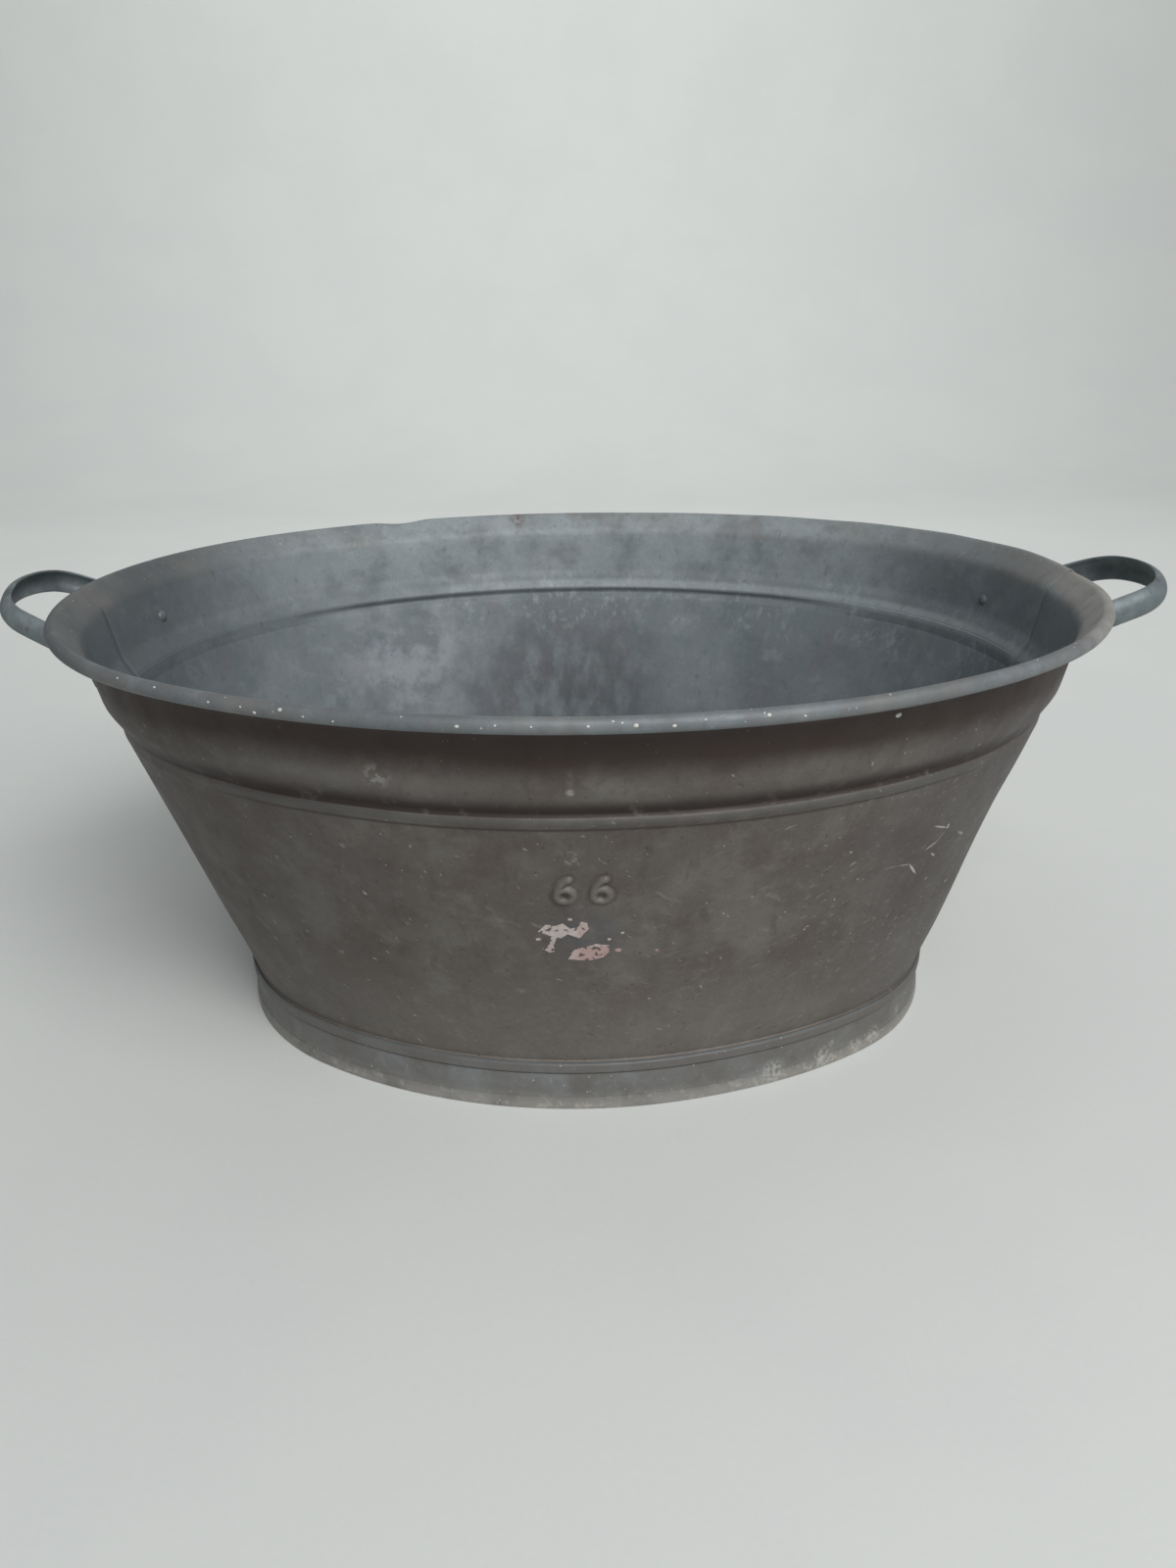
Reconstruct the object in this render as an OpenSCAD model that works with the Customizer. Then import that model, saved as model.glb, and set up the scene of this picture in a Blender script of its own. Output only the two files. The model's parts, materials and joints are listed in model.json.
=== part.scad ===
// Oval wash tub of zinc-coated sheet steel, made of two wall halves with a wired rim,
// a seamed bottom on a foot hoop and a riveted strap handle at each end.
// The length runs along X, the front faces -Y, and the tub stands on Z = 0.

/* [Tub] */
// Length over the rim
rim_length = 660; // [580:5:760]
// Width over the rim
rim_width = 536; // [460:4:570]
// How much tighter the end curves are than half the width
end_pinch = 28; // [20:1:45]
// Height of the rim above the ground
tub_height = 283; // [230:1:340]
// How far the foot stands in from the rim, all round
foot_inset = 88; // [65:1:110]
// Thickness of the sheet
sheet = 1; // [0.8:0.1:1.2]

/* [Rim] */
// Diameter of the wire that the rim is rolled around
wire_d = 6; // [5:0.5:7]
// How far in from the rim's edge the flared lip ends
lip_inset = 17.6; // [16:0.2:21]
// How far below the rim's top the flared lip ends
lip_drop = 13.5; // [12:0.5:16]
// How far round the wire the sheet is rolled, in degrees
curl = 285; // [240:5:290]

/* [Collar and swage] */
// Height of the collar under the lip
collar_height = 33; // [30:1:40]
// How far the collar draws in from top to bottom
collar_draw = 6.6; // [4:0.2:9]
// Height of the step from the collar down to the groove
step_height = 9.5; // [7:0.5:12]
// Depth of the groove behind the collar
groove_depth = 7.2; // [5:0.2:8]
// Height of the upper face of the ridge below the groove
ridge_height = 7.7; // [6:0.1:10]
// How far the ridge stands out from the groove
ridge_rise = 2.8; // [2:0.2:4]
// Height of the lower face of the ridge
ridge_under = 6.3; // [5:0.1:8]
// How far the lower face of the ridge draws in to the wall
ridge_fall = 5; // [4:0.2:6]

/* [Bottom and foot] */
// Height of the foot, from the ground to the top of the bottom sheet
foot_height = 33; // [24:1:44]
// Width of the ledge between the wall and the seam's edge
ledge = 3.3; // [2.6:0.1:5]
// Height of the seam's downturned strip
seam_strip = 6; // [4:0.5:10]
// Height of the hem along the hoop's lower edge
hem_height = 7.5; // [5:0.5:12]

/* [Side seams] */
// Width of the folded seam on the outside of each end
seam_width = 9; // [6:1:14]

/* [Handles] */
// How far each handle reaches out past the rim
handle_reach = 46; // [36:1:60]
// Width of each handle where it passes under the rim
handle_width = 120; // [106:2:136]
// Outer radius of the handle's bowed grip
grip_radius = 84; // [76:2:120]
// Outer radius of the handle's corners
handle_corner = 33; // [24:1:38]
// Spread of the handle's legs towards the tub, in degrees
leg_spread = 12.5; // [6:0.5:16]
// Upward tilt of the handle, in degrees
handle_tilt = 18; // [10:1:20]
// Height of the handle's strap
strap_height = 16; // [12:0.5:20]
// Depth of the strap's hollow curve
strap_depth = 5.5; // [4.5:0.1:7]
// Thickness of the handle's steel
handle_gauge = 1.5; // [1.2:0.1:2]
// Room between the handle and the underside of the rim
lip_room = 1; // [0.5:0.1:3]

/* [Handle rivets] */
// Distance of each rivet from the middle of the handle
rivet_spread = 67; // [62:1:74]
// How far below the rim's top the rivets sit
rivet_drop = 35; // [33:0.5:37]
// Diameter of the rivet's shank
shank_d = 4.8; // [4:0.2:6]
// Diameter of the rivet's heads
head_d = 8.4; // [7:0.2:10]
// Height of the rivet's heads
head_height = 2; // [1.4:0.1:2.6]
// Radius of the flattened ear round each rivet
ear_radius = 9; // [7:0.5:10]

/* [Hidden] */

$fa = 3;
$fs = 0.5;

// Clearances: between the wire and the roll, at butted sheets, at seated pieces, in rivet holes
wire_gap = 0.1;
butt_gap = 0.1;
seat_gap = 0.1;
hole_gap = 0.1;
// How much thinner the sheet and the wire are drawn round the tight end curves
end_thinning = 0.04;
// How much slimmer the grips and legs of the handles are drawn than the corners, on every side
run_thinning = 0.05;
// How far the thinner stretches of a curve run on inside the thicker ones
joint_lap = 0.5;

// Largest turn, in degrees, of one straight step round a bend of the sheet
bend_step = 15;
// Bend radii along the wall's profile
foot_bend = 1.5;
wall_bend = 4;
ridge_bend = 3;
collar_bend = 6;
lip_bend = 6;

// The rim is an oval of four arcs, and every level below it keeps the same four centres
half_length = rim_length / 2;
half_width = rim_width / 2;
end_r = half_width - end_pinch;
end_centre = half_length - end_r;
oval_excess = half_length - half_width;
side_centre = oval_excess * (2 * end_centre - oval_excess) / (2 * end_pinch);
side_r = half_width + side_centre;
joint_angle = atan2(side_centre, end_centre);

// Corners of the wall's profile, each as [inset from the rim's edge, height]
roll_line_r = wire_d / 2 + wire_gap + sheet / 2;
roll_r = roll_line_r + sheet / 2;
roll_centre = [roll_r, tub_height - roll_r];
lip = [lip_inset, tub_height - lip_drop];
collar = lip + [collar_draw, -collar_height];
groove = collar + [groove_depth, -step_height];
ridge = groove + [-ridge_rise, -ridge_height];
wall_top = ridge + [ridge_fall, -ridge_under];
wall_foot = [foot_inset + ledge, foot_height + sheet / 2];
flange_edge = [foot_inset + sheet / 2, wall_foot.y];

function unit(v) = v / norm(v);
function turned(v, a) = [v.x * cos(a) - v.y * sin(a), v.x * sin(a) + v.y * cos(a)];
function turn_between(a, b) = atan2(a.x * b.y - a.y * b.x, a * b);
function reversed(list) = [for (i = [len(list) - 1 : -1 : 0]) list[i]];

// Points along an arc that starts at p, heads along direction d and turns by angle a
function bend(p, d, r, a) =
    let (to_centre = sign(a) * r * [-d.y, d.x])
    let (steps = max(2, ceil(abs(a) / bend_step)))
    [for (i = [0 : steps]) p + to_centre - turned(to_centre, a * i / steps)];

// The corner q of the line p-q-s, rounded with radius r
function rounded(p, q, s, r) =
    let (d_in = unit(q - p))
    let (angle = turn_between(d_in, unit(s - q)))
    bend(q - d_in * r * tan(abs(angle) / 2), d_in, r, angle);

// A line moved sideways by distance d, to its left
function beside(line, d) =
    let (last = len(line) - 1)
    [for (i = [0 : last])
        let (d_in = unit(line[max(i, 1)] - line[max(i, 1) - 1]))
        let (d_out = unit(line[min(i, last - 1) + 1] - line[min(i, last - 1)]))
        let (half_turn = turn_between(d_in, d_out) / 2)
        let (along = unit(d_in + d_out))
        line[i] + d / cos(half_turn) * [-along.y, along.x]];

// Closed outline of a strip that runs along a line, between two distances to its left
function strip(line, d1, d2) = concat(beside(line, d1), reversed(beside(line, d2)));

// Where the flared lip, running up from its corner, meets the roll round the wire
lip_to_roll = roll_centre - lip;
lip_aim = unit(turned(lip_to_roll, -asin(roll_line_r / norm(lip_to_roll))));
roll_start = lip + lip_aim * sqrt(norm(lip_to_roll) ^ 2 - roll_line_r ^ 2);

// The middle line of the wall sheet, from the flange on the bottom up to the rolled rim
wall_line = concat(
    [flange_edge],
    rounded(flange_edge, wall_foot, wall_top, foot_bend),
    rounded(wall_foot, wall_top, ridge, wall_bend),
    rounded(wall_top, ridge, groove, ridge_bend),
    rounded(ridge, groove, collar, ridge_bend),
    rounded(groove, collar, lip, collar_bend),
    rounded(collar, lip, roll_start, lip_bend),
    bend(roll_start, lip_aim, roll_line_r, curl));

// The outside of the collar as the radius of the end curve, at height z
function collar_r(z) = end_r - lip.x - (lip.y - z) * collar_draw / collar_height
                     + sheet / 2 / cos(collar_lean);
collar_lean = atan2(collar_draw, collar_height);

// The oval at a given inset from the rim, drawn in by the thinning round its ends
module oval(inset) {
    end_edge = end_centre + (end_r - inset) * cos(joint_angle);
    intersection() {
        translate([0, side_centre])
            circle(side_r - inset);
        translate([0, -side_centre])
            circle(side_r - inset);
        square([2 * end_edge, rim_width], center = true);
    }
    for (side = [-1, 1])
        translate([side * end_centre, 0])
            circle(end_r - inset - end_thinning);
}

// A profile of [inset, height] points swept along part of the right end curve
module along_end(profile, start, sweep) {
    translate([end_centre, 0, 0])
        rotate([0, 0, start])
            rotate_extrude(angle = sweep)
                polygon([for (p = profile) [end_r - p.x, p.y]]);
}

// A profile swept along the whole front curve
module along_front(profile) {
    translate([0, side_centre, 0])
        rotate([0, 0, joint_angle - 180])
            rotate_extrude(angle = 180 - 2 * joint_angle)
                polygon([for (p = profile) [side_r - p.x, p.y]]);
}

// A sheet with the given middle line, swept round the front half of the oval, cut back by an angle
// at both ends
module along_half(line, cut_back) {
    end_sheet = sheet - end_thinning;
    end_profile = strip(line, -end_sheet / 2, end_sheet / 2);
    along_end(end_profile, -joint_angle - lap_angle, joint_angle + lap_angle - cut_back);
    along_front(strip(line, -sheet / 2, sheet / 2));
    rotate([0, 0, 180])
        along_end(end_profile, cut_back, joint_angle + lap_angle - cut_back);
}

// Angles along the end curve: of the lap at its ends, of the butted gap, of the seam's fold and of
// the rivets
lap_angle = joint_lap / end_r * 180 / PI;
butt_angle = atan2(butt_gap / 2, end_r);
fold_angle = seam_width / end_r * 180 / PI;
rivet_z = tub_height - rivet_drop;
rivet_angle = asin(rivet_spread / collar_r(rivet_z));

// Places its children at the two rivets of the right handle, on the outside of the collar, facing out
module at_rivets() {
    for (side = [-1, 1])
        at_rivet(side)
            children();
}

module at_rivet(side) {
    translate([end_centre, 0, 0])
        rotate([0, 0, side * rivet_angle])
            translate([collar_r(rivet_z), 0, rivet_z])
                rotate([0, 90 + collar_lean, 0])
                    children();
}

// Holes for the rivets of both handles, through sheets and ears
module rivet_holes() {
    reach = handle_gauge + sheet + head_height;
    for (turn = [0, 180])
        rotate([0, 0, turn])
            at_rivets()
                cylinder(h = 2 * reach, d = shank_d + 2 * hole_gap, center = true);
}

// Half of the wall. The folded seam at its right end laps over the other half.
module wall_half() {
    wall_rise = unit(wall_top - wall_foot);
    fold_ends = [wall_foot + wall_rise * seam_width, wall_top - wall_rise * seam_width];
    fold_in = sheet / 2 + seat_gap;
    fold_out = fold_in + 2 * sheet;
    difference() {
        union() {
            along_half(wall_line, butt_angle);
            along_end(strip(fold_ends, 0, fold_out), -fold_angle, fold_angle - butt_angle);
            along_end(strip(fold_ends, fold_in, fold_out), -fold_angle, 2 * fold_angle);
        }
        rivet_holes();
    }
}

module front_wall_sheet() {
    color([0.37, 0.36, 0.35])
        wall_half();
}

module rear_wall_sheet() {
    color([0.44, 0.47, 0.48])
        rotate([0, 0, 180])
            wall_half();
}

module rim_wire() {
    module arc_of_wire(r, d, start, sweep) {
        rotate([0, 0, start])
            rotate_extrude(angle = sweep)
                translate([r - roll_centre.x, roll_centre.y])
                    circle(d = d);
    }
    end_turn = 2 * (joint_angle + lap_angle);
    color([0.35, 0.35, 0.36])
        for (turn = [0, 180])
            rotate([0, 0, turn]) {
                translate([end_centre, 0, 0])
                    arc_of_wire(end_r, wire_d - end_thinning, -end_turn / 2, end_turn);
                translate([0, side_centre, 0])
                    arc_of_wire(side_r, wire_d, joint_angle - 180, 180 - 2 * joint_angle);
            }
}

// The bottom sheet. Its edge is turned down over the hoop as the seam's strip.
module bottom_pan() {
    color([0.42, 0.44, 0.44]) {
        translate([0, 0, foot_height - sheet])
            linear_extrude(sheet)
                oval(foot_inset);
        translate([0, 0, foot_height - seam_strip])
            linear_extrude(seam_strip - sheet / 2)
                difference() {
                    oval(foot_inset);
                    oval(foot_inset + sheet);
                }
    }
}

// The upright hoop that the tub stands on, with a hem along its lower edge
module foot_hoop() {
    hoop_inset = foot_inset + sheet + seat_gap;
    color([0.45, 0.46, 0.45]) {
        linear_extrude(foot_height - sheet)
            difference() {
                oval(hoop_inset);
                oval(hoop_inset + sheet);
            }
        linear_extrude(hem_height)
            difference() {
                oval(foot_inset);
                oval(hoop_inset + sheet / 2);
            }
    }
}

// The handle lies in a tilted plane through the place where its legs pass under the rim
leg_x = end_centre + sqrt(end_r ^ 2 - (handle_width / 2) ^ 2);
leg_z = tub_height - 2 * roll_r - lip_room - strap_height / 2 / cos(handle_tilt);
handle_end = (half_length + handle_reach - leg_x) / cos(handle_tilt);
grip_centre = handle_end - grip_radius;
corner_orbit = grip_radius - handle_corner;
corner_tangent = handle_width / 2 * cos(leg_spread) - handle_corner - grip_centre * sin(leg_spread);
grip_turn = asin(corner_tangent / corner_orbit) - leg_spread;
corner_u = grip_centre + corner_orbit * cos(grip_turn);
corner_v = corner_orbit * sin(grip_turn);
strap_curve = (strap_height ^ 2 / 4 + strap_depth ^ 2) / (2 * strap_depth);

// Section of the strap: a hollow curve that bulges to +X, its crown at the origin. It can be drawn
// slimmer, by the same amount on every side.
module strap_section(slimmer = 0) {
    difference() {
        intersection() {
            translate([-strap_curve, 0])
                circle(strap_curve - slimmer);
            translate([slimmer - strap_depth, slimmer - strap_height / 2])
                square([strap_depth, strap_height - 2 * slimmer]);
        }
        translate([-strap_curve, 0])
            circle(strap_curve - handle_gauge + slimmer);
    }
}

// The bowed grip at the end of the loop, in the loop's own plane
module grip() {
    half_turn = grip_turn + joint_lap / grip_radius * 180 / PI;
    translate([grip_centre, 0, 0])
        rotate([0, 0, -half_turn])
            rotate_extrude(angle = 2 * half_turn)
                translate([grip_radius, 0])
                    strap_section(run_thinning);
}

// One side of the loop in the same plane: a corner and a leg
module half_loop() {
    leg_length = handle_end + lip_inset + collar_draw;
    translate([corner_u, corner_v, 0])
        rotate([0, 0, grip_turn])
            rotate_extrude(angle = 90 - leg_spread - grip_turn)
                translate([handle_corner, 0])
                    strap_section();
    translate([corner_u, corner_v, 0])
        rotate([0, 0, 90 - leg_spread])
            translate([handle_corner, -joint_lap, 0])
                rotate([-90, 0, 0])
                    linear_extrude(joint_lap + leg_length)
                        strap_section(run_thinning);
}

// The tub's end as a solid, out to a given distance from the collar
module collar_core(distance) {
    low = collar.y - lip_drop;
    high = tub_height;
    translate([end_centre, 0, low])
        cylinder(h = high - low, r1 = collar_r(low) + distance, r2 = collar_r(high) + distance);
}

// The flattened ear at the end of one leg, laid against the collar
module ear(side) {
    root = rivet_spread - handle_width / 2;
    rise = lip.y - rivet_z - ear_radius / 2;
    intersection() {
        difference() {
            collar_core(seat_gap + handle_gauge);
            collar_core(seat_gap);
        }
        at_rivet(side)
            linear_extrude(4 * handle_gauge, center = true) {
                circle(ear_radius);
                polygon([[ear_radius, 0], [0, -side * root], [-rise, -side * root],
                         [-rise, 0], [0, side * ear_radius]]);
            }
    }
}

module handle() {
    color([0.43, 0.45, 0.46])
        difference() {
            union() {
                difference() {
                    translate([leg_x, 0, leg_z])
                        rotate([0, -handle_tilt, 0]) {
                            grip();
                            half_loop();
                            mirror([0, 1, 0])
                                half_loop();
                        }
                    collar_core(seat_gap + handle_gauge / 2);
                }
                ear(-1);
                ear(1);
            }
            rivet_holes();
        }
}

module left_handle() {
    rotate([0, 0, 180])
        handle();
}

module right_handle() {
    handle();
}

// A domed rivet head, its flat side at the origin, facing up
module rivet_head() {
    dome = (head_d ^ 2 / 4 + head_height ^ 2) / (2 * head_height);
    rotate_extrude()
        intersection() {
            translate([0, head_height - dome])
                circle(dome);
            square([head_d / 2, head_height]);
        }
}

module handle_rivets() {
    under_head = handle_gauge + 2 * seat_gap;
    color([0.5, 0.52, 0.52])
        at_rivets() {
            translate([0, 0, under_head])
                rivet_head();
            translate([0, 0, -sheet - seat_gap])
                mirror([0, 0, 1])
                    rivet_head();
            translate([0, 0, -sheet - 2 * seat_gap])
                cylinder(h = sheet + under_head + 3 * seat_gap, d = shank_d);
        }
}

module left_handle_rivets() {
    rotate([0, 0, 180])
        handle_rivets();
}

module right_handle_rivets() {
    handle_rivets();
}

front_wall_sheet();
rear_wall_sheet();
rim_wire();
bottom_pan();
foot_hoop();
left_handle();
right_handle();
left_handle_rivets();
right_handle_rivets();
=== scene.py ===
import json
import math

import bpy
from mathutils import Matrix, Vector, noise

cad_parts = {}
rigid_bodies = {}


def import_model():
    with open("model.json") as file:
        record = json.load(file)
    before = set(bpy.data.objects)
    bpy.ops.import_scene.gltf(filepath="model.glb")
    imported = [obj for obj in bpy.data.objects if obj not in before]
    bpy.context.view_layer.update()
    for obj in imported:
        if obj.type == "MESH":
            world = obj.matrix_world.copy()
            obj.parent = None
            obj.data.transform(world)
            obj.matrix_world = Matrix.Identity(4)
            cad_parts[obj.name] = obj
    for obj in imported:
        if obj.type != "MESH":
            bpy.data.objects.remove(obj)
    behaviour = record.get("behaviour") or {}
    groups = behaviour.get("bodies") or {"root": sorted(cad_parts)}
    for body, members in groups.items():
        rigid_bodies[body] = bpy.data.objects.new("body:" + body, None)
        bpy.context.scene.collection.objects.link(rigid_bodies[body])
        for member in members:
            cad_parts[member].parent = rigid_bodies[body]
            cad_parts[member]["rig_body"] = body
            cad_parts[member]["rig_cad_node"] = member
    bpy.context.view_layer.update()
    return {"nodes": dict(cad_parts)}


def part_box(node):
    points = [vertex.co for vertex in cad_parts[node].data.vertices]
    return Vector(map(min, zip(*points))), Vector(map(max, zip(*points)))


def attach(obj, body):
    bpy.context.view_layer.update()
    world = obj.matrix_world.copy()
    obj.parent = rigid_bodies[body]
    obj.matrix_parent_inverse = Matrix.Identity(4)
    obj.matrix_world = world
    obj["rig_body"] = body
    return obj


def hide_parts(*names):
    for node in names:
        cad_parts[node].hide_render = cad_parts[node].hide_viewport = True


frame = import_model()

# Front wall. Half of the tub's wall, pressed from one sheet of zinc-coated steel: a cone that runs up
# to a ridge, a groove and a collar, with its top edge flared out and rolled round a wire. The size
# number is pressed out from behind. The sheet is a little wavy from use.
wall_low, wall_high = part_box("front_wall_sheet")
half_length = wall_high.x
half_width = -wall_low.y
tub_height = wall_high.z
bottom_top = wall_low.z
sheet = 0.001

# The oval has four arcs, and every level keeps their four centres
end_pinch = 0.028
end_radius = half_width - end_pinch
end_centre = half_length - end_radius
excess = half_length - half_width
side_centre = excess * (2 * end_centre - excess) / (2 * (end_centre - excess))
joint_angle = math.atan2(side_centre, end_centre)
right_end = (end_centre, 0, 0)
left_end = (-end_centre, 0, 0)
front_centre = (0, side_centre, 0)
rear_centre = (0, -side_centre, 0)

# Corners of the wall's middle line, as inset from the rim's edge and height
flange_edge = Vector((0.0885, bottom_top + sheet / 2))
wall_foot = Vector((0.0913, bottom_top + sheet / 2))
lip = Vector((0.0176, tub_height - 0.0135))
collar = lip + Vector((0.0066, -0.033))
groove = collar + Vector((0.0074, -0.0128))
ridge = groove + Vector((-0.0027, -0.0042))
wall_top = ridge + Vector((0.0042, -0.0048))
roll_radius = 0.0036
roll_centre = Vector((roll_radius + sheet / 2, tub_height - roll_radius - sheet / 2))
roll_turn = math.radians(285)
foot_bend, cone_bend, ridge_bend, groove_bend = 0.0015, 0.0025, 0.0030, 0.0022
collar_bend, lip_bend = 0.014, 0.012
wall_row = 0.0045


def turned(v, angle):
    return Matrix.Rotation(angle, 2) @ v


def arc(start, heading, radius, angle, step=math.radians(12)):
    """Points round a bend of the sheet that starts along a heading and turns by an angle."""
    to_centre = math.copysign(radius, angle) * Vector((-heading.y, heading.x))
    count = max(2, math.ceil(abs(angle) / step))
    return [start + to_centre - turned(to_centre, angle * i / count) for i in range(count + 1)]


def rounded(before, corner, after, radius):
    """The points that round off a corner of the sheet's line."""
    heading = (corner - before).normalized()
    away = (after - corner).normalized()
    angle = math.atan2(heading.x * away.y - heading.y * away.x, heading.dot(away))
    return arc(corner - heading * radius * math.tan(abs(angle) / 2), heading, radius, angle)


def in_rows(line, row):
    """The line with its long straight stretches divided into rows."""
    points = [line[0]]
    for here, there in zip(line, line[1:]):
        count = max(1, round((there - here).length / row))
        points += [here.lerp(there, (i + 1) / count) for i in range(count)]
    return points


to_roll = roll_centre - lip
lip_heading = turned(to_roll, -math.asin(roll_radius / to_roll.length)).normalized()
roll_start = lip + lip_heading * math.sqrt(to_roll.length_squared - roll_radius**2)
wall_line = in_rows(
    [flange_edge]
    + rounded(flange_edge, wall_foot, wall_top, foot_bend)
    + rounded(wall_foot, wall_top, ridge, cone_bend)
    + rounded(wall_top, ridge, groove, ridge_bend)
    + rounded(ridge, groove, collar, groove_bend)
    + rounded(groove, collar, lip, collar_bend)
    + rounded(collar, lip, roll_start, lip_bend)
    + arc(roll_start, lip_heading, roll_radius, roll_turn),
    wall_row,
)


def enter(mode):
    bpy.ops.object.mode_set(mode=mode)


def select_mesh():
    bpy.ops.mesh.select_all(action="SELECT")


def deselect():
    bpy.ops.object.select_all(action="DESELECT")


def draw_points(points):
    """A line of edges, drawn point by point from one vertex, left selected in edit mode."""
    deselect()
    bpy.ops.mesh.primitive_plane_add(size=sheet, location=points[0])
    bpy.ops.object.transform_apply(location=True)
    enter("EDIT")
    bpy.ops.mesh.select_mode(type="VERT")
    bpy.ops.mesh.merge(type="CENTER")
    for here, there in zip(points, points[1:]):
        bpy.ops.mesh.extrude_region_move(TRANSFORM_OT_translate={"value": there - here})
    select_mesh()
    return bpy.context.object


def draw_line(name, line):
    """A line at the tub's right end, given by insets and heights."""
    piece = draw_points([Vector((half_length - inset, 0, z)) for inset, z in line])
    piece.name = name
    return piece


weld, tiny = 1e-6, 1e-5


def sweep(turns):
    """Spins what is selected round one centre after the other."""
    for steps, angle, centre in turns:
        bpy.ops.mesh.spin(steps=steps, angle=angle, center=centre, axis=(0, 0, 1))


def face_out(piece, test):
    """Makes the faces agree, and turns them if the test on a face says that they point the wrong way."""
    select_mesh()
    bpy.ops.mesh.remove_doubles(threshold=weld)
    bpy.ops.mesh.normals_make_consistent(inside=False)
    enter("OBJECT")
    wrong = [face for face in piece.data.polygons if test(face)]
    if wrong:
        enter("EDIT")
        bpy.ops.mesh.flip_normals()
        enter("OBJECT")


def choose(piece, kind, test):
    """Selects the vertices or faces of a piece whose place passes a test, and goes to edit mode."""
    enter("EDIT")
    bpy.ops.mesh.select_mode(type=kind)
    bpy.ops.mesh.select_all(action="DESELECT")
    enter("OBJECT")
    if kind == "FACE":
        for face in piece.data.polygons:
            face.select = test(face.center)
    else:
        for vertex in piece.data.vertices:
            vertex.select = test(vertex.co)
    enter("EDIT")


def apply(piece, kind, **settings):
    """Adds a modifier with its settings and applies it."""
    bpy.ops.object.modifier_add(type=kind)
    modifier = piece.modifiers[-1]
    for key, value in settings.items():
        setattr(modifier, key, value)
    bpy.ops.object.modifier_apply(modifier=modifier.name)


def dent(piece, place, move, reach):
    """Moves the sheet around one place, as a knock or a pull does, whole in the middle of its reach."""
    middle = 0.25 * reach
    choose(piece, "VERT", lambda co: (co - Vector(place)).length < middle)
    bpy.ops.transform.translate(
        value=move, use_proportional_edit=True, proportional_edit_falloff="SMOOTH", proportional_size=reach
    )
    enter("OBJECT")


def inset_of(co):
    """How far a place lies inside the oval of the rim, seen from above."""
    if math.atan2(abs(co.y) + side_centre, abs(co.x)) > joint_angle:
        return half_width + side_centre - math.hypot(co.x, abs(co.y) + side_centre)
    return end_radius - math.hypot(abs(co.x) - end_centre, co.y)


def eased(share):
    """0 below 0, 1 above 1, and a smooth rise between them."""
    share = min(1, max(0, share))
    return share * share * (3 - 2 * share)


ridge_end, ridge_full = math.radians(44), math.radians(72)


def run_out_ridge(piece):
    """Flattens the ridge towards the seams, where the rollers that pressed it let go of the sheet."""
    for vertex in piece.data.vertices:
        height = (vertex.co.z - wall_top.y) / (groove.y - wall_top.y)
        if 0 < height < 1:
            spoke = vertex.co.xy - Vector((math.copysign(end_centre, vertex.co.x), 0))
            around = math.atan2(abs(spoke.y), math.copysign(spoke.x, spoke.x * vertex.co.x))
            flat = 1 - eased((around - ridge_end) / (ridge_full - ridge_end))
            bulge = wall_top.lerp(groove, height).x - inset_of(vertex.co)
            vertex.co.xy -= flat * bulge * spoke.normalized()


# Places along the rim and how far each is lifted
rim_level = tub_height - 0.002
lift_reach = 0.08
rim_lifts = (
    (0.210, -0.197, 0.0007), (0.266, -0.150, 0.0013), (0.306, -0.096, 0.0017),
    (0.324, -0.033, 0.0010), (0.324, 0.033, 0.0020), (0.306, 0.096, 0.0017),
    (0.266, 0.150, 0.0013), (0.210, 0.197, 0.0011), (0.140, 0.236, 0.0007),
)


def lift_rim(piece):
    """The rim's right end has been pulled up by its handle, and the rim beside it has come up with it."""
    for x, y, lift in rim_lifts:
        dent(piece, (x, y, rim_level), (0, 0, lift), lift_reach)


swell_middle, swell_reach = Vector((0.200, -0.110)), 0.16
swell_low, swell_high = 0.06, 0.17
swell = Vector((0.0038, -0.0038))


def swell_foot(piece):
    """The foot is a little fuller than the oval at the right of its front, and the cone above follows."""
    for vertex in piece.data.vertices:
        near = eased(1 - (vertex.co.xy - swell_middle).length / swell_reach)
        low = eased((swell_high - vertex.co.z) / (swell_high - swell_low))
        vertex.co.xy += near * low * swell


end_steps, side_steps = 36, 76
side_turn = math.pi - 2 * joint_angle
seam_edge = 0.0012 / end_radius
seam_draw = 0.0008
cone_low, cone_high = 0.1, 0.2
panel_low, panel_high, panel_end = 0.045, 0.262, 0.012


def wall_half(name):
    """The swept sheet of one half, before its thickness, with the edges at the seams drawn outwards."""
    piece = draw_line(name, wall_line)
    sweep(
        [
            (1, seam_edge, right_end),
            (end_steps - 1, joint_angle - seam_edge, right_end),
            (side_steps, side_turn, front_centre),
            (end_steps - 1, joint_angle - seam_edge, left_end),
            (1, seam_edge, left_end),
        ]
    )
    face_out(piece, lambda face: cone_low < face.center.z < cone_high and face.normal.y * face.center.y < 0)
    run_out_ridge(piece)
    choose(piece, "VERT", lambda co: abs(co.y) < tiny and co.z < lip.y)
    bpy.ops.transform.shrink_fatten(value=seam_draw)
    choose(piece, "VERT", lambda co: panel_low < co.z < panel_high and co.y < -panel_end)
    bpy.ops.object.vertex_group_assign_new()
    select_mesh()
    bpy.ops.object.vertex_group_smooth(factor=0.5, repeat=8)
    enter("OBJECT")
    return piece


waves = bpy.data.textures.new("sheet_waves", "CLOUDS")
waves.noise_scale = 0.11
waves.noise_depth = 2
wave_height = 0.0018


def wave_sheet(piece):
    """Makes the part of a sheet that is in its vertex group uneven."""
    panel = piece.vertex_groups[0].name
    apply(piece, "DISPLACE", texture=waves, strength=wave_height, mid_level=0.5, vertex_group=panel)


smooth_angle = math.radians(40)


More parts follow.
